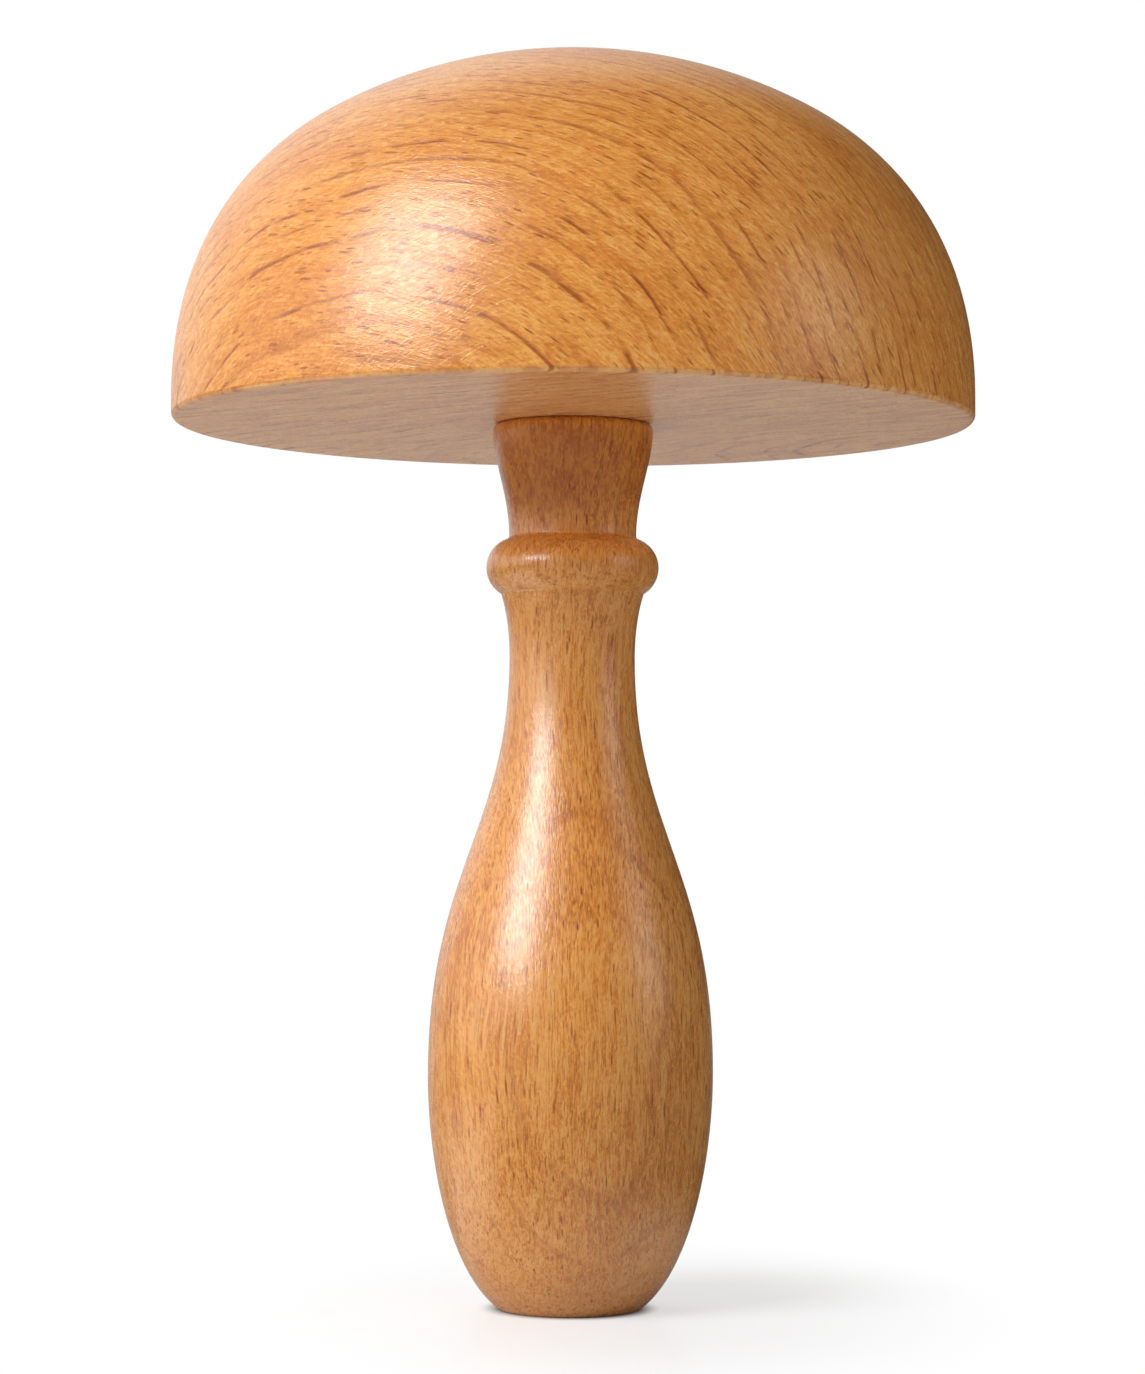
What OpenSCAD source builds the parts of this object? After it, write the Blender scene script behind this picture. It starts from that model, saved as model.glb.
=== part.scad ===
// Darning mushroom: a turned beech handle that stands on its foot, and a domed cap that screws onto it.
// Sizes are in millimetres. The origin is the centre of the foot's flat face, and +Z runs up the axis.

/* [Cap] */
// Diameter of the cap across its straight side
cap_d = 80; // [70:0.5:100]
// Height of the cap from its flat underside to the top of the dome
cap_h = 36.8; // [32:0.1:50]
// Height of the straight side, from the underside to where the dome begins to curve in
cap_side_h = 2.2; // [1.5:0.1:6]
// Radius of the rounded lower edge of the cap
rim_r = 0.6; // [0.3:0.1:1.4]
// Radius of the sphere that the crown is part of
crown_r = 50.5; // [44:0.5:80]
// Diameter of the crown, where it hands over to the shoulder curve
crown_d = 50; // [30:1:56]
// How far the shoulder curve keeps the crown's direction
crown_pull = 7.3; // [3:0.1:12]
// How far the shoulder curve keeps the straight side's direction
side_pull = 16.5; // [8:0.5:20]

/* [Handle] */
// Diameter of the flat face that the handle stands on
foot_d = 13.5; // [10:0.5:18]
// Radius of the rounded edge of the foot
foot_r = 0.8; // [0.4:0.1:1.5]
// Angle at which the handle rises from the foot's edge
foot_angle = 38; // [25:1:55]
// How far the handle keeps that angle
foot_pull = 6.3; // [3:0.1:9]
// Diameter of the grip at its thickest
grip_d = 28.3; // [23:0.1:36]
// Height of the thickest level of the grip above the foot
grip_h = 23.2; // [19:0.1:34]
// How far the grip keeps upright below its thickest level
grip_pull_low = 7.9; // [4:0.1:11]
// How far the grip keeps upright above its thickest level
grip_pull_high = 20.3; // [10:0.1:24]
// Length of the taper from the thickest level up to the waist
taper_l = 41.3; // [34:0.1:60]
// How far the taper keeps upright below the waist
waist_pull_low = 17.3; // [8:0.1:20]
// Diameter of the waist, the thinnest level of the handle
waist_d = 12.5; // [10.5:0.1:13.5]
// Length from the waist up to the bead's lower cove
neck_l = 6.1; // [4:0.1:14]
// How far the neck keeps upright above the waist
waist_pull_high = 3.8; // [1:0.1:3.9]
// Diameter of the neck just under the bead
neck_d = 14.1; // [13:0.1:15]
// Diameter of the bead
bead_d = 17.2; // [16.2:0.1:20]
// Radius of the bead's rounded section
bead_r = 3; // [2.5:0.1:3.5]
// Radius of the coves on both sides of the bead
cove_r = 0.4; // [0.2:0.1:0.8]
// Diameter of the collar just above the bead
collar_foot_d = 12.7; // [12:0.1:14.5]
// Diameter of the collar under the cap
collar_d = 16; // [15.5:0.1:20]
// Length of the collar, from the bead's upper cove to the cap
collar_l = 11.2; // [8:0.1:18]
// How far the collar keeps upright above the bead
collar_pull_low = 4; // [1:0.1:5]
// How far the collar keeps upright below its rounded shoulder
collar_pull_high = 3; // [0.5:0.1:3]
// Radius of the collar's rounded shoulder
shoulder_r = 0.7; // [0.3:0.1:0.8]

/* [Screw joint] */
// Outer diameter of the thread on the handle's spigot
thread_d = 10; // [8:0.5:10.5]
// Pitch of the thread
thread_pitch = 2.5; // [2:0.1:4]
// Depth of the thread
thread_depth = 0.8; // [0.4:0.1:0.9]
// Length of the spigot above the shoulder
spigot_l = 14; // [9:0.5:20]
// Plain length between the shoulder and the thread
relief_l = 1.2; // [0.6:0.1:2.5]
// How far the spigot's end is chamfered
spigot_chamfer = 1; // [0.4:0.1:1.6]
// Gap all round between the crests of the two threads
thread_gap = 0.2; // [0.1:0.05:0.3]
// Room between the spigot's end and the bottom of the socket
socket_end_gap = 1.5; // [0.5:0.1:4]
// How much wider than its thread the socket is at its mouth
mouth_flare = 0.3; // [0.1:0.1:0.4]
// Depth of the socket's flared mouth
mouth_l = 0.8; // [0.3:0.1:1]

/* [Hidden] */

// Number of straight lengths in a long curve, in a short curve and in an arc
long_steps = 36;
short_steps = 12;
arc_steps = 10;
// Number of sides of the threads, and of levels in one turn of them
thread_sides = 32;
thread_levels = 8;
// How far the joined solids reach into each other
sink = 1;
$fn = 120;

foot_edge = [foot_d / 2, foot_r];
foot_end = foot_edge + foot_r * [sin(foot_angle), -cos(foot_angle)];
waist_z = grip_h + taper_l;
lower_cove_z = waist_z + neck_l;
bead_centre_r = bead_d / 2 - bead_r;
bead_z = lower_cove_z + cove_rise(neck_d / 2);
upper_cove_z = bead_z + cove_rise(collar_foot_d / 2);
shoulder_z = upper_cove_z + collar_l;
collar_top_z = shoulder_z - shoulder_r;

cap_r = cap_d / 2;
crown_angle = asin(crown_d / 2 / crown_r);
crown_end = [crown_d / 2, cap_h - crown_r * (1 - cos(crown_angle))];

// The real threads touch. Here the socket's thread stands back by its own depth,
// so that the cap can also be lifted straight off.
thread_r = thread_d / 2;
socket_r = thread_r + thread_gap + thread_depth;
socket_l = spigot_l + socket_end_gap;

// Height between the bead's widest level and the level where a cove meets the wall at this radius
function cove_rise(wall_r) = sqrt(pow(bead_r + cove_r, 2) - pow(wall_r + cove_r - bead_centre_r, 2));

// Smooth curve from a to d that leaves towards b and arrives from c
function curve(a, b, c, d, steps) = [
    for (i = [0 : steps])
        let (t = i / steps, s = 1 - t)
            s * s * s * a + 3 * s * s * t * b + 3 * s * t * t * c + t * t * t * d
];

// Round stretch about a centre, between two angles
function arc(centre, r, from, to, steps) = [
    for (i = [0 : steps])
        let (w = from + (to - from) * i / steps)
            centre + r * [cos(w), sin(w)]
];

// Right-hand wave of the thread, from 0 in the groove to 1 on the crest
function thread_wave(turn, z) = (1 + cos(360 * z / thread_pitch - turn)) / 2;

// Share of its depth that the thread has at a height, which grows from the end of the plain length
function thread_growth(z) = min(1, max(0, 2 * (z - relief_l) / thread_pitch));

// Radius of the spigot at an angle and a height above the shoulder
function spigot_radius(turn, z) =
    let (core = thread_r - thread_depth)
        min(core + thread_depth * thread_growth(z) * thread_wave(turn, z),
            thread_r - spigot_chamfer * max(0, 1 - (spigot_l - z) / spigot_chamfer));

// Radius of the socket at an angle and a height above the underside
function socket_radius(turn, z) =
    max(socket_r - thread_depth * thread_growth(z) * (1 - thread_wave(turn, z)),
        socket_r + mouth_flare * (1 - z / mouth_l));

// Outline of the foot, the grip and the taper up to the waist
function grip_outline() = concat(
    [[0, 0]],
    arc(foot_edge, foot_r, -90, foot_angle - 90, arc_steps),
    curve(foot_end, foot_end + foot_pull * [cos(foot_angle), sin(foot_angle)],
          [grip_d / 2, grip_h - grip_pull_low], [grip_d / 2, grip_h], long_steps),
    curve([grip_d / 2, grip_h], [grip_d / 2, grip_h + grip_pull_high],
          [waist_d / 2, waist_z - waist_pull_low], [waist_d / 2, waist_z], long_steps)
);

// Outline of the neck, the bead with its coves, and the collar
function collar_outline() =
    let (
        lower_cove = [neck_d / 2 + cove_r, lower_cove_z],
        upper_cove = [collar_foot_d / 2 + cove_r, upper_cove_z],
        low_angle = atan2(bead_z - lower_cove[1], lower_cove[0] - bead_centre_r),
        high_angle = atan2(upper_cove[1] - bead_z, upper_cove[0] - bead_centre_r)
    )
    concat(
        curve([waist_d / 2, waist_z], [waist_d / 2, waist_z + waist_pull_high],
              [neck_d / 2, lower_cove_z], [neck_d / 2, lower_cove_z], short_steps),
        arc(lower_cove, cove_r, 180, 180 - low_angle, arc_steps),
        arc([bead_centre_r, bead_z], bead_r, -low_angle, high_angle, long_steps),
        arc(upper_cove, cove_r, 180 + high_angle, 180, arc_steps),
        curve([collar_foot_d / 2, upper_cove_z], [collar_foot_d / 2, upper_cove_z + collar_pull_low],
              [collar_d / 2, collar_top_z - collar_pull_high], [collar_d / 2, collar_top_z], long_steps),
        arc([collar_d / 2 - shoulder_r, collar_top_z], shoulder_r, 0, 90, arc_steps),
        [[0, shoulder_z]]
    );

// Outline of the cap above its underside
function cap_outline() = concat(
    [[0, 0]],
    arc([cap_r - rim_r, rim_r], rim_r, -90, 0, arc_steps),
    curve([cap_r, cap_side_h], [cap_r, cap_side_h + side_pull],
          crown_end + crown_pull * [cos(crown_angle), -sin(crown_angle)], crown_end, long_steps),
    arc([0, cap_h - crown_r], crown_r, 90 - crown_angle, 90, long_steps)
);

// Outline without the points that repeat where two stretches meet
function clean(points) = [
    for (i = [0 : len(points) - 1])
        if (i == 0 || norm(points[i] - points[i - 1]) > 0.001) points[i]
];

// Closed round body with a radius for each angle and height, from bottom to top
module threaded_body(radii, heights) {
    sides = len(radii[0]);
    top = len(heights) - 1;
    points = [
        for (i = [0 : top], j = [0 : sides - 1])
            let (turn = 360 * j / sides)
                [radii[i][j] * cos(turn), radii[i][j] * sin(turn), heights[i]]
    ];
    walls = [
        for (i = [0 : top - 1], j = [0 : sides - 1], half = [0, 1])
            let (a = i * sides + j, b = i * sides + (j + 1) % sides)
                half == 0 ? [a, a + sides, b + sides] : [a, b + sides, b]
    ];
    bottom_face = [for (j = [0 : sides - 1]) j];
    top_face = [for (j = [sides - 1 : -1 : 0]) top * sides + j];
    polyhedron(points = points, faces = concat(walls, [bottom_face, top_face]));
}

// Heights of the thread's levels, from below the face it stands on up to its end
function level_heights(l) =
    let (steps = ceil(l * thread_levels / thread_pitch))
        concat([-sink], [for (i = [0 : steps]) l * i / steps]);

module spigot() {
    heights = level_heights(spigot_l);
    radii = [for (z = heights) [for (j = [0 : thread_sides - 1]) spigot_radius(360 * j / thread_sides, z)]];
    threaded_body(radii, heights);
}

module socket() {
    heights = level_heights(socket_l);
    radii = [for (z = heights) [for (j = [0 : thread_sides - 1]) socket_radius(360 * j / thread_sides, z)]];
    threaded_body(radii, heights);
}

// Handle: foot, grip, neck, bead and collar turned in one piece, with the threaded spigot on top
module handle() {
    color([0.74, 0.48, 0.26])
    union() {
        rotate_extrude() polygon(clean(concat(grip_outline(), collar_outline())));
        translate([0, 0, shoulder_z]) spigot();
    }
}

// Cap: dome with a flat underside and a blind threaded socket in its middle
module cap() {
    color([0.82, 0.57, 0.30])
    translate([0, 0, shoulder_z])
    difference() {
        rotate_extrude() polygon(clean(cap_outline()));
        socket();
    }
}

handle();
cap();
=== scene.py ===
"""Turned beech darning mushroom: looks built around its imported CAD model.

The handle stands on its foot and carries a wooden screw; the domed cap has the blind socket that it goes into. Each
is one closed turned surface on a grid of levels and turns. Sizes are in millimetres and named as in the part's source;
meshes are written in metres. The origin is the centre of the foot, +Z is up, and the camera looks along +Y.
"""
from __future__ import annotations

import logging
import math
from dataclasses import dataclass, field
from enum import Enum

import bpy
import numpy as np
from mathutils import Matrix, Vector


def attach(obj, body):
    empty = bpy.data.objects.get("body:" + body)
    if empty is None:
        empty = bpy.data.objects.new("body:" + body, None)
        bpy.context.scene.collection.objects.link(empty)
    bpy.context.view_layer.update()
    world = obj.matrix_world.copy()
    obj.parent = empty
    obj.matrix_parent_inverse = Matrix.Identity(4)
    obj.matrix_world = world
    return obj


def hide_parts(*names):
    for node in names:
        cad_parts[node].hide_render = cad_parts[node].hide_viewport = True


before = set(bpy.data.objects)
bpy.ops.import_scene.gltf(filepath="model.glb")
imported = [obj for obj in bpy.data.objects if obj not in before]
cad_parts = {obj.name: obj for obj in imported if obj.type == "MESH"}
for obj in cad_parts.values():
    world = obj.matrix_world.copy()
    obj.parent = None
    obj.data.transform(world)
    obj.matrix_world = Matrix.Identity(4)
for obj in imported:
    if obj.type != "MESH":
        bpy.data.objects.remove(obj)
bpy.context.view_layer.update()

log = logging.getLogger("darning_mushroom")

METRE = 0.001


class TurnedBody(Enum):
    """CAD body that a piece moves with."""

    HANDLE = "handle_body"
    CAP = "cap_body"


# ---------------------------------------------------------------------------------------------------------------------
# Outlines: rows of (radius, height)
# ---------------------------------------------------------------------------------------------------------------------

def curve(a: np.ndarray, b: np.ndarray, c: np.ndarray, d: np.ndarray, steps: int) -> np.ndarray:
    """Work out a smooth stretch of an outline.

    With t from 0 to 1 and s = 1 - t, a point is s cubed a, plus 3 s squared t b, plus 3 s t squared c, plus t cubed d.

    Args:
        a: Point (radius, height) where the stretch starts.
        b: Point that it leaves towards.
        c: Point that it arrives from.
        d: Point where it ends.
        steps: Number of straight lengths.

    Returns:
        Array of steps + 1 points.
    """
    t = np.linspace(0.0, 1.0, steps + 1)[:, None]
    s = 1.0 - t
    return s**3 * a + 3 * s * s * t * b + 3 * s * t * t * c + t**3 * d


def arc(centre: np.ndarray, radius: float, start: float, end: float, steps: int) -> np.ndarray:
    """Work out a round stretch: the centre plus the radius times (cos, sin) of the angle.

    Args:
        centre: Centre (radius, height) of the arc.
        radius: Radius of the arc.
        start: First angle in degrees, from the outward direction.
        end: Last angle in degrees.
        steps: Number of straight lengths.

    Returns:
        Array of steps + 1 points.
    """
    angle = np.radians(np.linspace(start, end, steps + 1))
    return centre + radius * np.stack([np.cos(angle), np.sin(angle)], axis=1)


def flat(start: float, end: float, height: float, steps: int, crisp: float = 0.12) -> np.ndarray:
    """Work out a level stretch of even steps with a row close to each end, so that smooth shading keeps it crisp.

    Args:
        start: Radius where the stretch starts.
        end: Radius where it ends.
        height: Height of all its points.
        steps: Number of straight lengths between the two support rows.
        crisp: Distance of the support rows from the ends.

    Returns:
        Array of steps + 3 points.
    """
    inward = crisp * np.sign(end - start)
    radii = np.concatenate([[start], np.linspace(start + inward, end - inward, steps + 1), [end]])
    return np.stack([radii, np.full_like(radii, height)], axis=1)


def joined(*stretches: np.ndarray) -> np.ndarray:
    """Join stretches into one outline and drop the points that repeat where two of them meet.

    Args:
        stretches: Arrays of (radius, height) points, in order.

    Returns:
        Array of points, each over 0.0001 mm from the one before.
    """
    points = np.concatenate(stretches)
    kept = np.linalg.norm(np.diff(points, axis=0), axis=1) > 1e-4
    return points[np.concatenate([[True], kept])]


# ---------------------------------------------------------------------------------------------------------------------
# Meshes
# ---------------------------------------------------------------------------------------------------------------------

@dataclass
class TurnedSkin:
    """Closed surface round the vertical axis: rows of a radius for each turn, between two pole points."""

    sides: int = 192
    radii: list[np.ndarray] = field(default_factory=list)
    heights: list[np.ndarray] = field(default_factory=list)

    def turns(self) -> np.ndarray:
        """Angles of the sides, in radians."""
        return 2 * np.pi * np.arange(self.sides) / self.sides

    def add_outline(self, outline: np.ndarray) -> None:
        """Add rows that are the same all round, one for each (radius, height) of an outline."""
        self.radii.append(np.repeat(outline[:, :1], self.sides, axis=1))
        self.heights.append(outline[:, 1])

    def add_rows(self, radii: np.ndarray, heights: np.ndarray) -> None:
        """Add rows whose radius changes with the turn."""
        self.radii.append(radii)
        self.heights.append(heights)

    def mesh(self, name: str, first_pole: float, last_pole: float) -> bpy.types.Mesh:
        """Make the mesh.

        A grid point is radius times (cos, sin) of its turn, at its row's height. Neighbouring rows are joined by
        quads whose corners run with the turns first, so that they face outwards where the rows rise, and each end is
        closed by triangles to a pole on the axis.

        Args:
            name: Name of the mesh.
            first_pole: Height of the pole before the first row, in millimetres.
            last_pole: Height of the pole after the last row, in millimetres.

        Returns:
            The mesh, in metres and smooth-shaded.
        """
        radii, heights = np.concatenate(self.radii), np.concatenate(self.heights)
        rows, sides = radii.shape
        turns = self.turns()
        grid = np.stack([radii * np.cos(turns), radii * np.sin(turns),
                         np.broadcast_to(heights[:, None], radii.shape)], axis=-1).reshape(-1, 3)
        poles = np.array([[0.0, 0.0, first_pole], [0.0, 0.0, last_pole]])
        points = np.concatenate([grid, poles]) * METRE

        here = np.arange(sides)
        beside = np.roll(here, -1)
        start = sides * np.arange(rows - 1)[:, None]
        quads = np.stack([start + here, start + beside, start + sides + beside, start + sides + here], axis=-1)
        first = np.stack([np.full(sides, rows * sides), beside, here], axis=-1)
        last = np.stack([here, beside, np.full(sides, sides)], axis=-1) + (rows - 1) * sides
        last[:, 2] = rows * sides + 1

        mesh = bpy.data.meshes.new(name)
        faces = quads.reshape(-1, 4).tolist() + first.tolist() + last.tolist()
        mesh.from_pydata(points.tolist(), [], faces)
        mesh.polygons.foreach_set("use_smooth", np.ones(len(mesh.polygons), dtype=bool))
        mesh.validate()
        mesh.update()
        return mesh


def placed(mesh: bpy.types.Mesh, finish: Beech, body: TurnedBody, node: str) -> bpy.types.Object:
    """Put a finished piece into the scene in place of its CAD node.

    Args:
        mesh: The piece's mesh, which holds its place.
        finish: The piece's wood.
        body: Body that it moves with.
        node: CAD node that it stands for.

    Returns:
        The piece's object, at the origin.
    """
    piece = bpy.data.objects.new(mesh.name, mesh)
    bpy.context.scene.collection.objects.link(piece)
    mesh.materials.append(finish.material())
    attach(piece, body.value)
    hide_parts(node)
    log.info("%s: %d faces in place of %s, on %s", piece.name, len(mesh.polygons), node, body.value)
    return piece


# ---------------------------------------------------------------------------------------------------------------------
# Shader maths
# ---------------------------------------------------------------------------------------------------------------------

Input = "Varying | float | int | tuple"


class Varying:
    """Output of a shader node. Arithmetic on it adds Math nodes."""

    def __init__(self, graph: Graph, socket: bpy.types.NodeSocket) -> None:
        """Keep the graph and the output."""
        self.graph = graph
        self.socket = socket

    def other(self, name: str) -> Varying:
        """Another output of the same node."""
        return Varying(self.graph, self.socket.node.outputs[name])

    def __add__(self, value: Input) -> Varying:
        """self + value"""
        return self.graph.maths("ADD", self, value)

    def __radd__(self, value: Input) -> Varying:
        """value + self"""
        return self.graph.maths("ADD", value, self)

    def __sub__(self, value: Input) -> Varying:
        """self - value"""
        return self.graph.maths("SUBTRACT", self, value)

    def __rsub__(self, value: Input) -> Varying:
        """value - self"""
        return self.graph.maths("SUBTRACT", value, self)

    def __mul__(self, value: Input) -> Varying:
        """self * value"""
        return self.graph.maths("MULTIPLY", self, value)

    def __rmul__(self, value: Input) -> Varying:
        """value * self"""
        return self.graph.maths("MULTIPLY", value, self)

    def __pow__(self, value: Input) -> Varying:
        """self ** value"""
        return self.graph.maths("POWER", self, value)

    def __rpow__(self, value: Input) -> Varying:
        """value ** self"""
        return self.graph.maths("POWER", value, self)


class Graph:
    """Nodes of one material or of the world."""

    def __init__(self, tree: bpy.types.NodeTree) -> None:
        """Start with an empty tree."""
        self.tree = tree
        tree.nodes.clear()

    def add(self, kind: str, settings: dict | None = None, sockets: dict | None = None,
            output: int | str = 0) -> Varying:
        """Add a node.

        Args:
            kind: The node's type.
            settings: Its properties, set first. "stops" gives a ramp's (position, colour) pairs.
            sockets: Values or links of its inputs, by name or number.
            output: Output that is handed back.

        Returns:
            The output, or for a node without one a Varying without a socket.
        """
        node = self.tree.nodes.new(kind)
        for name, value in (settings or {}).items():
            if name == "stops":
                ramp = node.color_ramp
                for _ in range(len(value) - len(ramp.elements)):
                    ramp.elements.new(1.0)
                for element, (position, colour) in zip(ramp.elements, value):
                    element.position = position
                    element.color = (*colour, 1.0)
            else:
                setattr(node, name, value)
        for key, value in (sockets or {}).items():
            if isinstance(value, Varying):
                self.tree.links.new(value.socket, node.inputs[key])
            else:
                node.inputs[key].default_value = value
        return Varying(self, node.outputs[output] if len(node.outputs) else None)

    def maths(self, operation: str, *values: Input) -> Varying:
        """One Math node on one to three values."""
        return self.add("ShaderNodeMath", {"operation": operation}, dict(enumerate(values)))

    def vectors(self, operation: str, *values: Input) -> Varying:
        """One Vector Math node on one to three vectors."""
        return self.add("ShaderNodeVectorMath", {"operation": operation}, dict(enumerate(values)))

    def measure(self, operation: str, *values: Input) -> Varying:
        """One Vector Math node whose result is a number, such as a length or a dot product."""
        return self.vectors(operation, *values).other("Value")

    def ease(self, value: Input, low: float, high: float, start: Input = 0.0, end: Input = 1.0) -> Varying:
        """Smooth step from start to end while the value goes from low to high."""
        return self.add("ShaderNodeMapRange", {"interpolation_type": "SMOOTHSTEP"},
                        {0: value, 1: low, 2: high, 3: start, 4: end})

    def noise(self, place: Varying, stretch: tuple[float, float, float], detail: float = 2.0,
              roughness: float = 0.5) -> Varying:
        """Noise whose cells are as large as the given sizes.

        Args:
            place: Position in millimetres.
            stretch: Size of a cell along each axis, in millimetres.
            detail: Number of finer layers.
            roughness: Strength of each finer layer.

        Returns:
            The noise, mostly from 0.3 to 0.7.
        """
        scaled = self.vectors("MULTIPLY", place, tuple(1.0 / size for size in stretch))
        return self.add("ShaderNodeTexNoise", {"noise_dimensions": "3D"},
                        {"Vector": scaled, "Scale": 1.0, "Detail": detail, "Roughness": roughness})

    def mix(self, factor: Input, a: Input, b: Input, how: str = "MIX") -> Varying:
        """Mix two colours."""
        return self.add("ShaderNodeMix", {"data_type": "RGBA", "blend_type": how},
                        {0: factor, 6: a, 7: b}, output=2)

    def height(self) -> Varying:
        """Height above the foot, in metres."""
        return self.add("ShaderNodeSeparateXYZ",
                        sockets={0: self.add("ShaderNodeTexCoord", output="Object")}).other("Z")

    def from_camera(self) -> Varying:
        """1 for rays straight from the camera."""
        return self.add("ShaderNodeLightPath", output="Is Camera Ray")

    def seen_directly(self) -> Varying:
        """Tell the rays that show a background: those from the camera, off gloss or through glass.

        Returns:
            1 for such rays and 0 for others.
        """
        direct = self.from_camera()
        gloss = self.maths("MAXIMUM", direct.other("Is Glossy Ray"), direct.other("Is Transmission Ray"))
        return self.maths("MAXIMUM", direct, gloss)


def rgba(colour: tuple[float, float, float]) -> tuple[float, float, float, float]:
    """Colour with full alpha."""
    return (*colour, 1.0)


# ---------------------------------------------------------------------------------------------------------------------
# Wood
# ---------------------------------------------------------------------------------------------------------------------

# Size of the log's sways, and how far they go across the rings, along them and along the fibre
SWAY_CELL = (26.0, 26.0, 30.0)
SWAY = (5.0, 4.0, 0.0)
# How many rings the ring widths drift by, and the strength of the faintest ring line
RING_DRIFT = 1.8
FAINTEST_LINE = 0.2
# Mean of the darkening over a ring
LATE_MEAN = 0.35
# Turn between the fibres and those that cross them, in radians
CROSSING_TURN = (0.0, 0.45, 0.35)
# Size of a curled fibre in fine fibres, and its width as a share of the noise's range
WISP_SIZE = 3.2
WISP_WIDTH = 0.03
# Cells of the broad colour changes and of the bands, in millimetres
BROAD_CELL = (7.0, 16.0, 20.0)
BAND_CELL = (0.8, 7.0, 9.0)
# Height over which the underside's look sets in, in millimetres
UNDERSIDE_EDGE = 0.2
# Height of the other patterns as shares of the fine fibres'
CLOSE_RELIEF = 0.8
FAINT_RELIEF = 0.4
# Refractive index of the haze
HAZE_DENSITY = 1.5


@dataclass(frozen=True)
class Flecks:
    """Short dark strokes in the wood, in cells that are thin along the ring normal and longer the other ways.

    The cell is in millimetres; the reach and the soft edge are shares of it. Share is the part of the cells that hold
    a stroke. The shortest and the faintest stroke are shares of the full reach and the full strength.
    """

    cell: tuple[float, float, float]
    share: float
    reach: float
    soft: float
    seed: float
    strength: float
    shortest: float = 0.4
    faintest: float = 0.5

    def mask(self, graph: Graph, place: Varying) -> Varying:
        """Mask of the strokes.

        The place is scaled so that a cell is one unit. A stroke fills the space round its cell's random point as far
        as its reach, and sets in over the soft edge.

        Args:
            graph: Graph to add the nodes to.
            place: Position in the log, in millimetres.

        Returns:
            1 in a stroke's middle and 0 between the strokes.
        """
        scaled = graph.vectors("MULTIPLY_ADD", place, tuple(1.0 / size for size in self.cell), (self.seed,) * 3)
        distance = graph.add("ShaderNodeTexVoronoi", {"feature": "F1"},
                             {"Vector": scaled, "Scale": 1.0, "Randomness": 1.0})
        chance = graph.add("ShaderNodeSeparateColor", sockets={0: distance.other("Color")})
        present = graph.maths("LESS_THAN", chance, self.share)
        reach = chance.other("Green") * ((1 - self.shortest) * self.reach) + self.shortest * self.reach
        depth = chance.other("Blue") * ((1 - self.faintest) * self.strength) + self.faintest * self.strength
        return graph.ease(reach - distance, 0.0, self.soft) * present * depth


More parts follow.
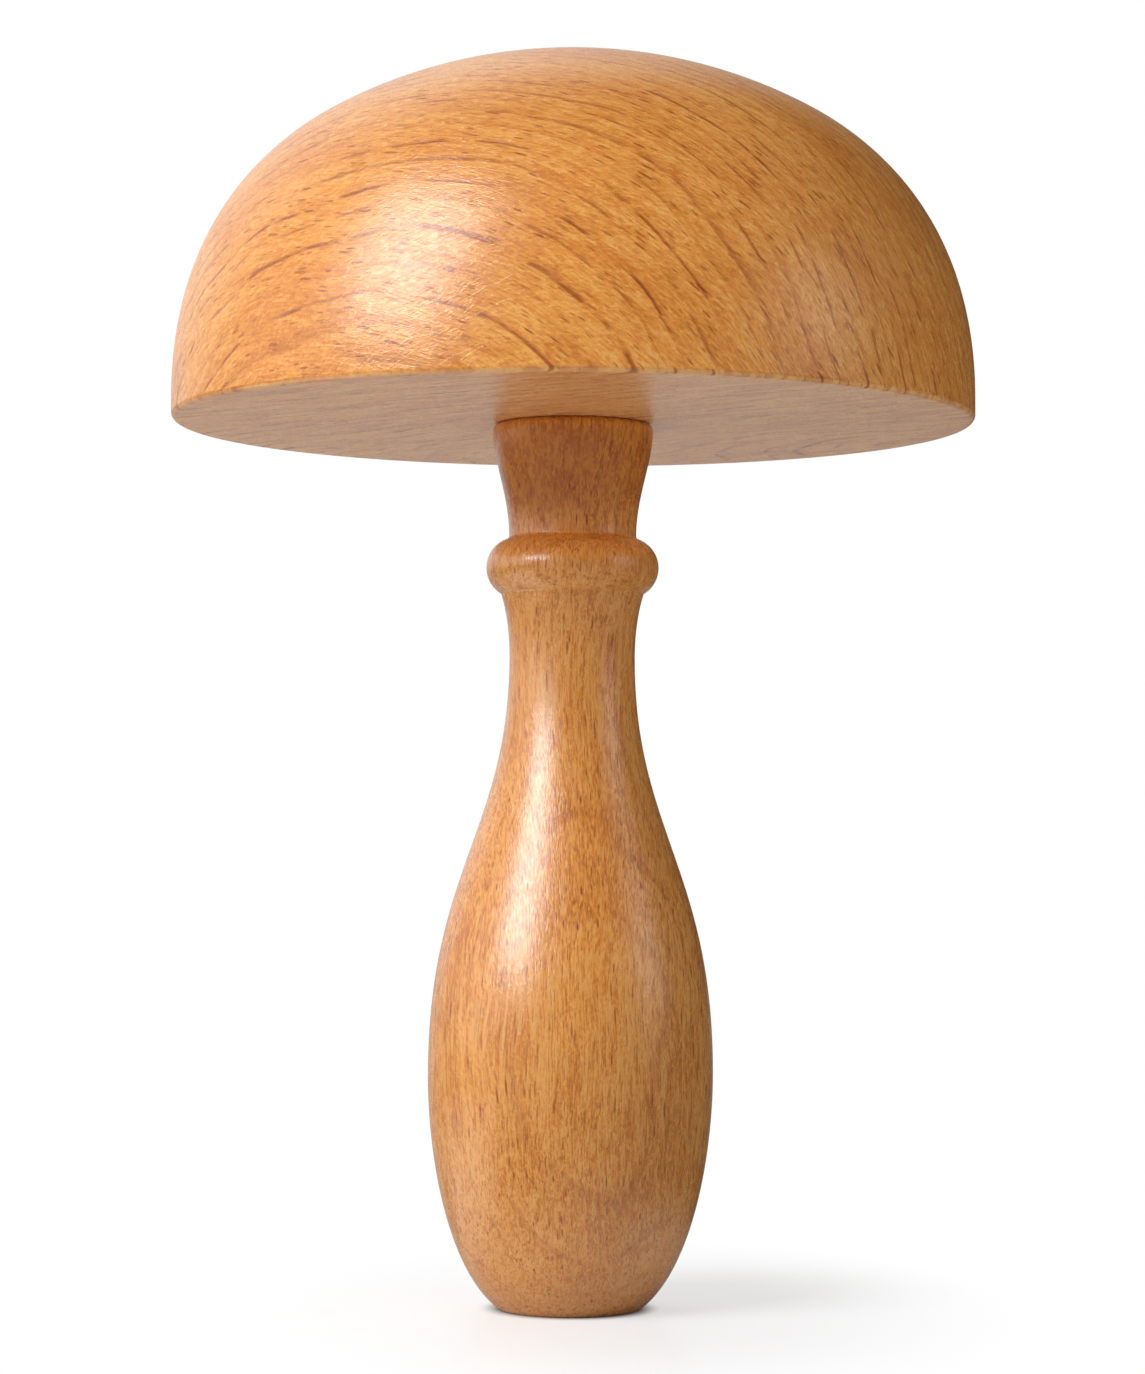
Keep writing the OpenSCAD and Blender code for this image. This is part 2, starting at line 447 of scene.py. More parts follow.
@dataclass(frozen=True)
class Beech:
    """Clear-lacquered beech, cut from a log that lies in its own direction. Lengths are in millimetres."""

    # The log: where the pattern is centred, how its rings and fibres run, and how far off its pith is
    name: str
    centre: tuple[float, float, float]
    ring_normal: tuple[float, float, float]
    fibre: tuple[float, float, float]
    pith: float
    ring_width: float
    late_strength: float
    line_strength: float
    line_length: float
    # Colours of the tones 0.2, 0.5 and 0.8, and the strokes' tint
    pale: tuple[float, float, float]
    warm: tuple[float, float, float]
    deep: tuple[float, float, float]
    stroke: tuple[float, float, float]
    flecks: tuple[Flecks, ...]
    fibre_size: tuple[float, float, float]
    felt_size: float
    # How strongly each pattern shifts the tone
    fine_share: float = 0.8
    crossing_share: float = 0.65
    contrast: float = 1.15
    streaks: float = 0.4
    broad_share: float = 0.6
    band_share: float = 0.3
    felt_share: float = 0.35
    wisp_share: float = 0.14
    # Painted shade between the bead and the cap: its strength, the levels between which it sets in, its darkening
    # tint, and what it does to grain and haze
    painted_shade: float = 0.0
    painted_shade_levels: tuple[float, float] = (75.5, 82.0)
    painted_shade_tint: tuple[float, float, float] = (0.76, 0.60, 0.15)
    painted_shade_grain: float = 0.8
    painted_shade_clears: float = 0.6
    # The flat underside: the level that it lies under, its paler colour, which is painted light from the floor below,
    # its stronger bands, and its smoother surface
    flat_below: float = 0.0
    painted_floor_light: tuple[float, float, float] = (0.94, 0.54, 0.25)
    painted_floor_light_share: float = 0.45
    underside_bands: float = 3.4
    underside_smooths: float = 0.7
    underside_roughness: float = 0.02
    # The lacquer, its haze, and the height of the fibres under it
    roughness: float = 0.29
    uneven_roughness: float = 0.3
    gloss: float = 1.0
    density: float = 1.55
    haze: float = 0.25
    haze_roughness: float = 0.6
    bump: float = 0.022

    def log_place(self, graph: Graph) -> Varying:
        """Turn the object's coordinates into the log's, from the piece's centre.

        The fibre is first made square to the ring normal. The turn's rows are the directions across the rings, along
        them and along the fibres.

        Args:
            graph: Graph to add the nodes to.

        Returns:
            The position in the log, in millimetres.
        """
        across = Vector(self.ring_normal).normalized()
        along = Vector(self.fibre)
        along = (along - along.dot(across) * across).normalized()
        turn = Matrix((across, along.cross(across), along))
        return graph.add("ShaderNodeMapping", sockets={
            "Vector": graph.add("ShaderNodeTexCoord", output="Object"), "Location": tuple(turn @ -Vector(self.centre)),
            "Rotation": tuple(turn.to_euler()), "Scale": (1 / METRE,) * 3})

    def ring_lines(self, graph: Graph, place: Varying) -> tuple[Varying, Varying]:
        """Growth rings: the distance from the pith in ring widths, which drift by up to about a ring.

        The phase runs from 0 to 1 over a ring. The wood darkens slowly over most of it, and the line lies at its end.

        Args:
            graph: Graph to add the nodes to.
            place: Position in the log, in millimetres.

        Returns:
            The dark line at the end of each ring, broken into lengths, and the slow darkening before it.
        """
        parts = graph.add("ShaderNodeSeparateXYZ", sockets={0: place})
        depth = graph.maths("SQRT", (parts + self.pith) ** 2 + parts.other("Y") ** 2) - self.pith
        drift = graph.noise(graph.add("ShaderNodeCombineXYZ", sockets={0: depth}), (5.0, 1.0, 1.0), detail=3.0)
        rings = depth * (1 / self.ring_width) + drift * RING_DRIFT
        phase = graph.maths("FRACT", rings)
        chance = graph.add("ShaderNodeTexWhiteNoise", {"noise_dimensions": "1D"},
                           {"W": graph.maths("FLOOR", rings)}, output="Value")
        late = graph.ease(phase, 0.2, 0.95) * graph.ease(phase, 1.0, 0.96)
        line = graph.ease(phase, 0.74, 0.90) * graph.ease(phase, 1.0, 0.94)
        run = self.line_length
        broken = graph.ease(graph.noise(place, (1.6, run, run), detail=2.0), 0.45, 0.57)
        return line * broken * (chance * (1 - FAINTEST_LINE) + FAINTEST_LINE), late

    def wisps(self, graph: Graph, place: Varying, shift: float) -> Varying:
        """Single curled fibres: thin lines where a stretched noise passes its middle value.

        Args:
            graph: Graph to add the nodes to.
            place: Position in the log, in millimetres.
            shift: Distance that tells two sets of fibres apart.

        Returns:
            1 on a fibre and 0 between the fibres.
        """
        size = tuple(WISP_SIZE * part for part in self.fibre_size)
        value = graph.noise(graph.vectors("ADD", place, (shift,) * 3), size, detail=1.0)
        return graph.ease(graph.maths("ABSOLUTE", value - 0.5), WISP_WIDTH, 0.0)

    def material(self) -> bpy.types.Material:
        """Build the material.

        Returns:
            The material, with its colour, roughness, lacquer and bump worked out from the position in the log.
        """
        material = bpy.data.materials.new(self.name)
        material.use_nodes = True
        graph = Graph(material.node_tree)
        straight = self.log_place(graph)

        # The log isn't quite straight: every pattern sways with it.
        sway = graph.add("ShaderNodeTexNoise", sockets={
            "Vector": graph.vectors("MULTIPLY", straight, tuple(1 / size for size in SWAY_CELL)),
            "Scale": 1.0, "Detail": 2.0}, output="Color")
        place = graph.vectors("MULTIPLY_ADD", graph.vectors("SUBTRACT", sway, (0.5,) * 3), SWAY, straight)
        line, late = self.ring_lines(graph, place)

        # Fibres: fine streaks, some of them crossing at a small angle.
        thin, wide, tall = self.fibre_size
        turned = graph.add("ShaderNodeMapping", sockets={"Vector": place, "Rotation": CROSSING_TURN})
        fine = graph.noise(place, (thin, wide, tall), detail=1.0, roughness=0.6)
        crossing = graph.noise(turned, (thin, max(wide * 0.6, thin), tall * 0.6), detail=1.0, roughness=0.6)
        wisps = graph.maths("MAXIMUM", self.wisps(graph, turned, 0.0), self.wisps(graph, place, 4.7))
        felt = graph.noise(turned, (self.felt_size, 1.6 * self.felt_size, 2.2 * self.felt_size), detail=1.0)
        coarse = graph.noise(place, (3 * thin, 3 * wide, 3 * tall), detail=2.0)
        broad = graph.noise(place, BROAD_CELL, detail=2.0)
        bands = graph.noise(place, BAND_CELL, detail=2.0)

        # Zones by height: the flat underside, and the painted shade between the bead and the cap.
        level = graph.height()
        underside = graph.ease(level, self.flat_below * METRE, (self.flat_below - UNDERSIDE_EDGE) * METRE)
        painted_shade = graph.ease(level, *(edge * METRE for edge in self.painted_shade_levels)) * self.painted_shade

        # Colour: a tone from pale to deep, with painted floor light on the underside, darkened by the lines and
        # strokes and by painted shade under the cap.
        grain = (((fine - 0.5) * self.fine_share + (crossing - 0.5) * self.crossing_share) * self.contrast
                 + (coarse - 0.5) * self.streaks)
        tone = (0.5 + grain * (painted_shade * self.painted_shade_grain + 1) + (broad - 0.5) * self.broad_share
                + (bands - 0.5) * (underside * self.underside_bands + self.band_share) + (felt - 0.5) * self.felt_share
                + (late - LATE_MEAN) * self.late_strength - wisps * self.wisp_share)
        colour = graph.add("ShaderNodeValToRGB", {"stops": [(0.2, self.pale), (0.5, self.warm), (0.8, self.deep)]},
                           {0: tone})
        # Painted floor light: the underside is mixed towards a paler colour, as if lit by the white floor below.
        colour = graph.mix(underside * self.painted_floor_light_share, colour, rgba(self.painted_floor_light))
        strokes = line * self.line_strength
        for flecks in self.flecks:
            strokes = graph.maths("MAXIMUM", strokes, flecks.mask(graph, place))
        colour = graph.mix(strokes, colour, rgba(self.stroke), "MULTIPLY")
        # Painted shade: the colour is darkened between the bead and the cap, where the cap shades the handle.
        colour = graph.mix(painted_shade, colour, rgba(self.painted_shade_tint), "MULTIPLY")

        # Surface: the fibres stand up a little through the lacquer, and the strokes sink.
        height = ((fine + (crossing + felt) * CLOSE_RELIEF + (coarse + wisps - strokes) * FAINT_RELIEF)
                  * (1 - underside * self.underside_smooths))
        shader = graph.add("ShaderNodeBsdfPrincipled", sockets={
            "Base Color": colour,
            "Roughness": (self.roughness + (crossing - 0.5) * self.uneven_roughness
                          + underside * self.underside_roughness),
            "Normal": graph.add("ShaderNodeBump", sockets={
                "Strength": 1.0, "Distance": self.bump * METRE, "Height": height}),
            "Specular IOR Level": self.gloss, "IOR": self.density,
            # Less haze between the bead and the cap, as part of the painted shade there.
            "Coat Weight": self.haze * (1 - painted_shade * self.painted_shade_clears) if self.painted_shade else self.haze,
            "Coat Roughness": self.haze_roughness, "Coat IOR": HAZE_DENSITY})
        graph.add("ShaderNodeOutputMaterial", sockets={"Surface": shader})
        return material


HANDLE_BEECH = Beech(
    name="handle_beech",
    centre=(-4.0, 3.0, 30.0),
    ring_normal=(0.10, -1.0, 0.06),
    fibre=(0.0, 0.0, 1.0),
    pith=45.0,
    ring_width=2.2,
    late_strength=0.05,
    line_strength=0.3,
    line_length=9.0,
    pale=(0.97, 0.465, 0.115),
    warm=(0.90, 0.340, 0.050),
    deep=(0.67, 0.215, 0.024),
    stroke=(0.50, 0.30, 0.12),
    flecks=(Flecks((0.50, 0.38, 4.0), 0.85, 0.34, 0.13, 3.1, 1.0),
            Flecks((0.34, 0.26, 4.4), 0.90, 0.34, 0.15, 7.7, 0.85)),
    fibre_size=(0.2, 0.13, 2.4),
    felt_size=0.17,
    contrast=1.75,
    streaks=1.1,
    # Painted shade between the bead and the cap, at full strength.
    painted_shade=1.0,
    roughness=0.26,
    density=1.62,
    haze=0.5,
    haze_roughness=0.46,
    bump=0.013,
)

CAP_BEECH = Beech(
    name="cap_beech",
    centre=(0.0, 0.0, 95.0),
    ring_normal=(-0.492, -0.587, -0.643),
    fibre=(0.870, -0.310, -0.383),
    pith=50.0,
    ring_width=1.75,
    late_strength=0.10,
    line_strength=1.0,
    line_length=5.5,
    pale=(0.98, 0.470, 0.110),
    warm=(0.87, 0.325, 0.046),
    deep=(0.68, 0.210, 0.020),
    stroke=(0.48, 0.29, 0.11),
    flecks=(Flecks((0.44, 2.8, 2.8), 0.85, 0.36, 0.14, 1.3, 1.0),
            Flecks((0.31, 2.0, 2.0), 0.70, 0.34, 0.15, 5.9, 0.85)),
    fibre_size=(0.15, 1.3, 1.3),
    felt_size=0.16,
    flat_below=88.3,
    bump=0.019,
)


# ---------------------------------------------------------------------------------------------------------------------
# The two pieces
# ---------------------------------------------------------------------------------------------------------------------

@dataclass
class ScrewJoint:
    """Wooden screw between the two pieces: a threaded spigot in a blind socket that stands back from it."""

    thread_d: float = 10.0
    thread_pitch: float = 2.5
    thread_depth: float = 0.8
    spigot_l: float = 14.0
    relief_l: float = 1.2
    spigot_chamfer: float = 1.0
    thread_gap: float = 0.2
    socket_end_gap: float = 1.5
    mouth_flare: float = 0.3
    mouth_l: float = 0.8
    levels: int = 14

    def wave(self, turns: np.ndarray, heights: np.ndarray) -> np.ndarray:
        """Right-hand wave of the thread: half of 1 plus the cosine of the rise in pitches less the turn."""
        return (1 + np.cos(2 * np.pi * heights[:, None] / self.thread_pitch - turns)) / 2

    def growth(self, heights: np.ndarray) -> np.ndarray:
        """Share of its depth that the thread has: it grows over half a pitch from the plain length's end."""
        return np.clip(2 * (heights - self.relief_l) / self.thread_pitch, 0, 1)[:, None]

    def heights(self, length: float) -> np.ndarray:
        """Heights of the rows of a threaded length, evenly spaced."""
        return np.linspace(0, length, math.ceil(length * self.levels / self.thread_pitch) + 1)

    def spigot_radii(self, turns: np.ndarray, heights: np.ndarray) -> np.ndarray:
        """Radius of the spigot: the core plus the thread's wave, cut by the chamfer at the end.

        Args:
            turns: Angles of the sides, in radians.
            heights: Heights above the shoulder.

        Returns:
            Array of rows by sides.
        """
        core = self.thread_d / 2 - self.thread_depth
        thread = core + self.thread_depth * self.growth(heights) * self.wave(turns, heights)
        to_end = 1 - (self.spigot_l - heights[:, None]) / self.spigot_chamfer
        return np.minimum(thread, self.thread_d / 2 - self.spigot_chamfer * np.clip(to_end, 0, None))

    def socket_radii(self, turns: np.ndarray, heights: np.ndarray) -> np.ndarray:
        """Radius of the socket: its bore less the thread's wave turned inwards, opened by the mouth's flare.

        Args:
            turns: Angles of the sides, in radians.
            heights: Heights above the underside.

        Returns:
            Array of rows by sides.
        """
        bore = self.thread_d / 2 + self.thread_gap + self.thread_depth
        thread = bore - self.thread_depth * self.growth(heights) * (1 - self.wave(turns, heights))
        return np.maximum(thread, bore + self.mouth_flare * (1 - heights[:, None] / self.mouth_l))


@dataclass
class Handle:
    """Foot, bulbous grip, waist, neck, bead and flared collar, turned in one piece with the spigot on top."""

    foot_d: float = 13.5
    foot_r: float = 0.8
    foot_angle: float = 38.0
    foot_pull: float = 6.3
    grip_d: float = 28.3
    grip_h: float = 23.2
    grip_pull_low: float = 7.9
    grip_pull_high: float = 20.3
    taper_l: float = 41.3
    waist_pull_low: float = 17.3
    waist_d: float = 12.5
    neck_l: float = 6.1
    waist_pull_high: float = 3.8
    neck_d: float = 14.1
    bead_d: float = 17.2
    bead_r: float = 3.0
    cove_r: float = 0.4
    collar_foot_d: float = 12.7
    collar_d: float = 16.0
    collar_l: float = 11.2
    collar_pull_low: float = 4.0
    collar_pull_high: float = 3.0
    shoulder_r: float = 0.7
    screw: ScrewJoint = field(default_factory=ScrewJoint)

    def cove_rise(self, wall_r: float) -> float:
        """Height from the bead's middle to a cove at this wall: root of (bead + cove radius)^2 less across^2."""
        across = wall_r + self.cove_r - (self.bead_d / 2 - self.bead_r)
        return math.sqrt((self.bead_r + self.cove_r) ** 2 - across**2)

    @property
    def lower_cove_z(self) -> float:
        """Height of the cove under the bead."""
        return self.grip_h + self.taper_l + self.neck_l

    @property
    def bead_z(self) -> float:
        """Height of the bead's widest level."""
        return self.lower_cove_z + self.cove_rise(self.neck_d / 2)

    @property
    def upper_cove_z(self) -> float:
        """Height of the cove over the bead."""
        return self.bead_z + self.cove_rise(self.collar_foot_d / 2)

    @property
    def shoulder_z(self) -> float:
        """Height of the face that the cap sits on."""
        return self.upper_cove_z + self.collar_l

    def grip_outline(self) -> np.ndarray:
        """Join the outlines of the foot, the grip and the taper up to the waist.

        Returns:
            Array of (radius, height) points from the foot's middle upwards.
        """
        foot_edge = np.array([self.foot_d / 2, self.foot_r])
        rise = math.radians(self.foot_angle)
        foot_end = foot_edge + self.foot_r * np.array([math.sin(rise), -math.cos(rise)])
        thickest = np.array([self.grip_d / 2, self.grip_h])
        waist = np.array([self.waist_d / 2, self.grip_h + self.taper_l])
        return joined(
            flat(1.0, self.foot_d / 2, height=0.0, steps=5),
            arc(foot_edge, self.foot_r, -90, self.foot_angle - 90, steps=8),
            curve(foot_end, foot_end + self.foot_pull * np.array([math.cos(rise), math.sin(rise)]),
                  thickest - [0, self.grip_pull_low], thickest, steps=40),
            curve(thickest, thickest + [0, self.grip_pull_high], waist - [0, self.waist_pull_low], waist, steps=60))

    def collar_outline(self) -> np.ndarray:
        """Join the outlines of the neck, the bead between its coves, and the collar up to the spigot.

        A cove meets the bead on the line between their centres, which gives the angles where their arcs end.

        Returns:
            Array of (radius, height) points from the waist upwards.
        """
        waist = np.array([self.waist_d / 2, self.grip_h + self.taper_l])
        neck = np.array([self.neck_d / 2, self.lower_cove_z])
        foot = np.array([self.collar_foot_d / 2, self.upper_cove_z])
        top = np.array([self.collar_d / 2, self.shoulder_z - self.shoulder_r])
        bead = np.array([self.bead_d / 2 - self.bead_r, self.bead_z])
        lower, upper = neck + [self.cove_r, 0], foot + [self.cove_r, 0]
        low_angle = math.degrees(math.atan2(bead[1] - lower[1], lower[0] - bead[0]))
        high_angle = math.degrees(math.atan2(upper[1] - bead[1], upper[0] - bead[0]))
        return joined(
            curve(waist, waist + [0, self.waist_pull_high], neck, neck, steps=16),
            arc(lower, self.cove_r, 180, 180 - low_angle, steps=8),
            arc(bead, self.bead_r, -low_angle, high_angle, steps=36),
            arc(upper, self.cove_r, 180 + high_angle, 180, steps=8),
            curve(foot, foot + [0, self.collar_pull_low], top - [0, self.collar_pull_high], top, steps=36),
            arc(top - [self.shoulder_r, 0], self.shoulder_r, 0, 90, steps=8),
            flat(self.collar_d / 2 - self.shoulder_r, self.screw.thread_d / 2 - self.screw.thread_depth,
                 self.shoulder_z, steps=4))

    def build(self) -> bpy.types.Object:
        """Build and dress the handle.

        Returns:
            The handle's object, with the spigot on it.
        """
        skin = TurnedSkin()
        skin.add_outline(joined(self.grip_outline(), self.collar_outline()))
        heights = self.screw.heights(self.screw.spigot_l)[1:]
        skin.add_rows(self.screw.spigot_radii(skin.turns(), heights), heights + self.shoulder_z)
        top = self.shoulder_z + self.screw.spigot_l
        skin.add_outline(flat(self.screw.thread_d / 2 - self.screw.spigot_chamfer, 0.6, top, steps=3)[1:])
        return placed(skin.mesh("beech_handle", 0.0, top), HANDLE_BEECH, TurnedBody.HANDLE, "handle")


@dataclass
class Cap:
    """Dome with a flat underside and a blind threaded socket in its middle."""

    shoulder_z: float
    cap_d: float = 80.0
    cap_h: float = 36.8
    cap_side_h: float = 2.2
    rim_r: float = 0.6
    crown_r: float = 50.5
    crown_d: float = 50.0
    crown_pull: float = 7.3
    side_pull: float = 16.5
    # Rows on the socket's flat end, as shares of its radius
    end_rows: tuple[float, ...] = (0.2, 0.5, 0.8, 0.97)
    screw: ScrewJoint = field(default_factory=ScrewJoint)

    def outline(self) -> np.ndarray:
        """Join the outlines of the underside, the rim, the side and the crown.

        The crown is part of a sphere, and half its width over the sphere's radius is the sine of its half angle.

        Returns:
            Array of (radius, height) points from the socket's mouth outwards and up, without the pole.
        """
        mouth = self.screw.thread_d / 2 + self.screw.thread_gap + self.screw.thread_depth + self.screw.mouth_flare
        side = self.cap_d / 2
        angle = math.asin(self.crown_d / 2 / self.crown_r)
        end = np.array([self.crown_d / 2, self.cap_h - self.crown_r * (1 - math.cos(angle))])
        crown = arc(np.array([0.0, self.cap_h - self.crown_r]), self.crown_r, 90 - math.degrees(angle), 90, steps=44)
        return joined(
            flat(mouth, side - self.rim_r, height=0.0, steps=24),
            arc(np.array([side - self.rim_r, self.rim_r]), self.rim_r, -90, 0, steps=10),
            curve(np.array([side, self.cap_side_h]), np.array([side, self.cap_side_h + self.side_pull]),
                  end + self.crown_pull * np.array([math.cos(angle), -math.sin(angle)]), end, steps=56),
            crown[:-1])

    def build(self) -> bpy.types.Object:
        """Build and dress the cap, from the socket's flat end down its wall and over the outside to the top.

        Returns:
            The cap's object.
        """
        skin = TurnedSkin()
        socket_l = self.screw.spigot_l + self.screw.socket_end_gap
        heights = self.screw.heights(socket_l)[::-1]
        radii = self.screw.socket_radii(skin.turns(), heights)
        for share in self.end_rows:
            skin.add_rows(radii[:1] * share, self.shoulder_z + heights[:1])
        skin.add_rows(radii[:-1], heights[:-1] + self.shoulder_z)
        skin.add_outline(self.outline() + [0, self.shoulder_z])
        mesh = skin.mesh("beech_cap", self.shoulder_z + socket_l, self.shoulder_z + self.cap_h)
        return placed(mesh, CAP_BEECH, TurnedBody.CAP, "cap")


# ---------------------------------------------------------------------------------------------------------------------
# Studio
# ---------------------------------------------------------------------------------------------------------------------

WHITE = rgba((1.0, 1.0, 1.0))


@dataclass
class Softbox:
    """Large soft lamp that faces the object. Angles are in degrees, lengths in metres.

    It hangs left of and above the direction of the camera. A lamp that isn't mirrored doesn't show in gloss.
    """

    name: str
    left: float
    up: float
    distance: float
    width: float
    height: float
    radiance: float
    mirrored: bool = True
    aim: tuple[float, float, float] = (0.0, 0.0, 0.065)

    def build(self) -> bpy.types.Object:
        """Hang the lamp at its angles and its distance from its aim.

        The way to it is (-sin left cos up, -cos left cos up, sin up). Its power is pi times its area times its
        radiance.

        Returns:
            The lamp's object.
        """
        lamp = bpy.data.lights.new(self.name, "AREA")
        lamp.shape = "RECTANGLE"
        lamp.size, lamp.size_y = self.width, self.height
        lamp.energy = math.pi * self.width * self.height * self.radiance
        holder = bpy.data.objects.new(self.name, lamp)
        holder.visible_glossy = self.mirrored
        left, up = math.radians(self.left), math.radians(self.up)
        away = Vector((-math.sin(left) * math.cos(up), -math.cos(left) * math.cos(up), math.sin(up)))
        holder.matrix_world = (Matrix.Translation(Vector(self.aim) + away * self.distance)
                               @ away.to_track_quat("Z", "Y").to_matrix().to_4x4())
        bpy.context.scene.collection.objects.link(holder)
        return holder


@dataclass
class Studio:
    """Camera, lamps, white surroundings and pale floor. Lengths are in metres, angles in degrees."""

    # Camera
    picture: tuple[int, int] = (1145, 1374)
    focal_px: float = 3450.0
    sensor: float = 36.0
    camera_place: tuple[float, float, float] = (0.0, -0.3439, 0.04713)
    pitch: float = 2.402
    roll: float = 0.236
    turn_px: float = 0.5
    # Soft light on matt surfaces: from level with the object, and what is added straight above
    ambient: float = 0.04
    overhead: float = 0.42
    # What gloss sees: dim surroundings with a white patch behind the object and one on its left. An edge gives the
    # cosines to the patch's direction between which it sets in, and the reach the floor that the left patch covers.
    studio_dark: float = 0.02
    white_sky: tuple[float, float, float] = (-0.45, 0.75, 0.48)
    white_floor: tuple[float, float, float] = (-0.25, 0.968, 0.0)
    white_edge: tuple[float, float] = (0.70, 0.97)
    white_left: tuple[float, float, float] = (-1.0, 0.0, 0.0)
    left_edge: tuple[float, float] = (0.78, 0.97)
    sky_shine: float = 1.0
    left_shine: float = 0.85
    left_reach: tuple[float, float] = (0.10, 0.26)
    # Floor: its colour, the share of it that the camera sees, and the evened light that the camera sees on top, which
    # sets in over the radii of a painted contact shadow round the foot
    floor_half: float = 4.0
    floor_colour: tuple[float, float, float] = (0.62, 0.62, 0.62)
    shadow_share: tuple[float, float, float] = (0.768, 0.790, 0.813)
    floor_lift: float = 0.66
    painted_contact_shadow: tuple[float, float] = (0.0066, 0.0092)
    floor_shine: float = 0.45
    floor_sheen: float = 0.16
    sheen_roughness: float = 0.22
    # Light that the floor away from the object sends up, and the radii over which it sets in
    floor_glow: float = 0.37
    glow_reach: tuple[float, float] = (0.06, 0.25)
    # Oval round which the floor fades into the white
    shadow_centre: tuple[float, float, float] = (0.005, 0.0, 0.0)
    shadow_shape: tuple[float, float, float] = (1.0, 0.68, 1.0)
    fade: tuple[float, float] = (0.014, 0.042)

    def build_camera(self) -> bpy.types.Object:
        """Set the camera where the photograph's outline puts it, looking along +Y and a little up.

        Its focal length is the one in pixels times the sensor's height over the picture's.

        Returns:
            The camera's object.
        """
        lens = bpy.data.cameras.new("camera")
        lens.sensor_fit = "VERTICAL"
        lens.sensor_height = self.sensor
        lens.lens = self.focal_px * self.sensor / self.picture[1]
        lens.clip_start = 0.01
        camera = bpy.data.objects.new("camera", lens)
        camera.matrix_world = (Matrix.Translation(self.camera_place)
                               @ Matrix.Rotation(-self.turn_px / self.focal_px, 4, "Z")
                               @ Matrix.Rotation(math.radians(90 + self.pitch), 4, "X")
                               @ Matrix.Rotation(math.radians(self.roll), 4, "Z"))
        bpy.context.scene.collection.objects.link(camera)
        bpy.context.scene.camera = camera
        return camera

    def build_lamps(self) -> None:
        """Hang the tall soft lamp on the left and the weaker ones on the right and behind."""
        Softbox("key_softbox", left=51, up=33.5, distance=1.0, width=0.52, height=0.74, radiance=6.3).build()
        Softbox("fill_softbox", left=-71, up=18, distance=1.0, width=0.40, height=0.46, radiance=1.0).build()
        Softbox("back_softbox", left=165, up=48, distance=1.0, width=0.60, height=0.60, radiance=1.3,
                mirrored=False).build()

    def surround(self, graph: Graph, way: Varying, side: tuple[float, float, float], shine: float,
                 left_shine: Input) -> Varying:
        """Brightness of the surroundings: white to the camera, and for gloss dim with two white patches.

        Args:
            graph: Graph to add the nodes to.
            way: Direction from the object.
            side: Direction of the patch behind the object.
            shine: Brightness of that patch.
            left_shine: Brightness of the patch on the left.

        Returns:
            The brightness.
        """
        behind = graph.ease(graph.measure("DOT_PRODUCT", way, side), *self.white_edge, self.studio_dark, shine)
        left = graph.ease(graph.measure("DOT_PRODUCT", way, self.white_left), *self.left_edge, 0.0, left_shine)
        direct = graph.from_camera()
        return direct + (1 - direct) * graph.maths("MAXIMUM", behind, left)

    def build_world(self) -> None:
        """Surround the object with white for the camera, white patches for gloss, and soft light for matt surfaces."""
        world = bpy.data.worlds.new("white_surroundings")
        world.use_nodes = True
        bpy.context.scene.world = world
        graph = Graph(world.node_tree)
        seen = graph.seen_directly()
        way = graph.add("ShaderNodeTexCoord", output="Generated")
        up = graph.add("ShaderNodeSeparateXYZ", sockets={0: way}).other("Z")
        soft = graph.ease(up, 0.0, 1.0, self.ambient, self.ambient + self.overhead)
        shown = self.surround(graph, way, self.white_sky, self.sky_shine, self.left_shine)
        shader = graph.add("ShaderNodeBackground", sockets={
            "Color": WHITE, "Strength": seen * shown + (1 - seen) * soft})
        graph.add("ShaderNodeOutputWorld", sockets={"Surface": shader})

    def floor_material(self) -> bpy.types.Material:
        """Build the floor's material.

        Near the foot it is a matt pale floor with a faint sheen, which keeps the object's shadow and reflection. The
        camera sees it lifted by an even light, which is held back in a ring round the foot to paint a contact shadow.
        For the camera and for gloss it fades into the white surroundings.

        Returns:
            The material.
        """
        material = bpy.data.materials.new("pale_floor")
        material.use_nodes = True
        graph = Graph(material.node_tree)
        place = graph.add("ShaderNodeTexCoord", output="Object")
        away = graph.measure("LENGTH", place)
        direct = graph.from_camera()

        paler = tuple(share * part for share, part in zip(self.shadow_share, self.floor_colour))
        matt = graph.add("ShaderNodeBsdfDiffuse", sockets={
            "Color": graph.mix(direct, rgba(self.floor_colour), rgba(paler))})
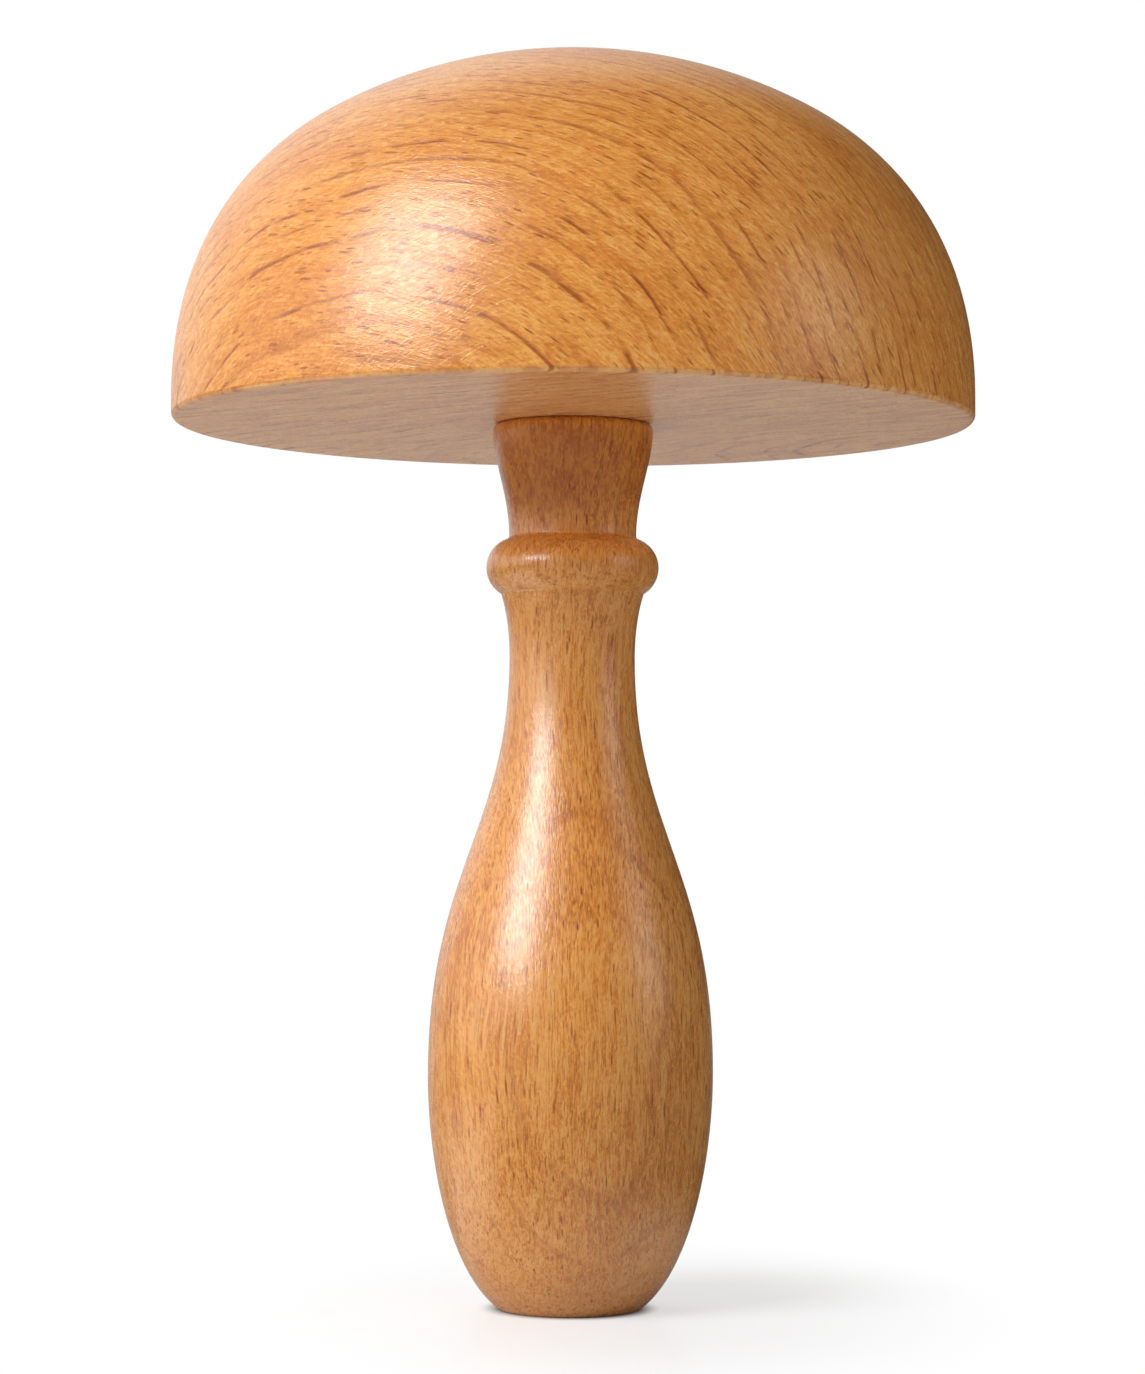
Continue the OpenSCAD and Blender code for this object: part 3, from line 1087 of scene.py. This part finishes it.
        # The lift is held back in a ring round the foot: a painted contact shadow.
        lift = graph.add("ShaderNodeEmission", sockets={
            "Color": WHITE, "Strength": direct * self.floor_lift * graph.ease(away, *self.painted_contact_shadow)})
        sheen = graph.add("ShaderNodeBsdfGlossy", sockets={"Color": WHITE, "Roughness": self.sheen_roughness})
        glow = graph.add("ShaderNodeEmission", sockets={
            "Color": WHITE, "Strength": (1 - direct) * graph.ease(away, *self.glow_reach) * self.floor_glow})
        near = graph.add("ShaderNodeAddShader", sockets={0: matt, 1: lift})
        near = graph.add("ShaderNodeMixShader", sockets={0: direct * self.floor_sheen, 1: near, 2: sheen})
        near = graph.add("ShaderNodeAddShader", sockets={0: near, 1: glow})

        shown = self.surround(graph, graph.vectors("NORMALIZE", place), self.white_floor, self.floor_shine,
                              graph.ease(away, *self.left_reach, self.left_shine, 0.0))
        white = graph.add("ShaderNodeEmission", sockets={"Color": WHITE, "Strength": shown})
        oval = graph.vectors("MULTIPLY", graph.vectors("SUBTRACT", place, self.shadow_centre), self.shadow_shape)
        fade = graph.ease(graph.measure("LENGTH", oval), *self.fade) * graph.seen_directly()
        graph.add("ShaderNodeOutputMaterial",
                  sockets={"Surface": graph.add("ShaderNodeMixShader", sockets={0: fade, 1: near, 2: white})})
        return material

    def build_floor(self) -> bpy.types.Object:
        """Lay the pale floor, a large square at the foot's height.

        Returns:
            The floor's object.
        """
        half = self.floor_half
        mesh = bpy.data.meshes.new("floor")
        mesh.from_pydata([(-half, -half, 0), (half, -half, 0), (half, half, 0), (-half, half, 0)], [], [(0, 1, 2, 3)])
        mesh.materials.append(self.floor_material())
        floor = bpy.data.objects.new("floor", mesh)
        bpy.context.scene.collection.objects.link(floor)
        return floor

    def build(self) -> None:
        """Build the camera, the lamps, the surroundings and the floor."""
        bpy.context.scene.view_settings.view_transform = "Standard"
        self.build_camera()
        self.build_lamps()
        self.build_world()
        self.build_floor()
        log.info("studio: camera, three lamps, white surroundings and floor")


def main() -> None:
    """Build the studio, the handle and the cap in order."""
    logging.basicConfig(level=logging.INFO, format="%(message)s")
    Studio().build()
    handle = Handle()
    handle.build()
    Cap(shoulder_z=handle.shoulder_z).build()


if __name__ == "__main__":
    main()
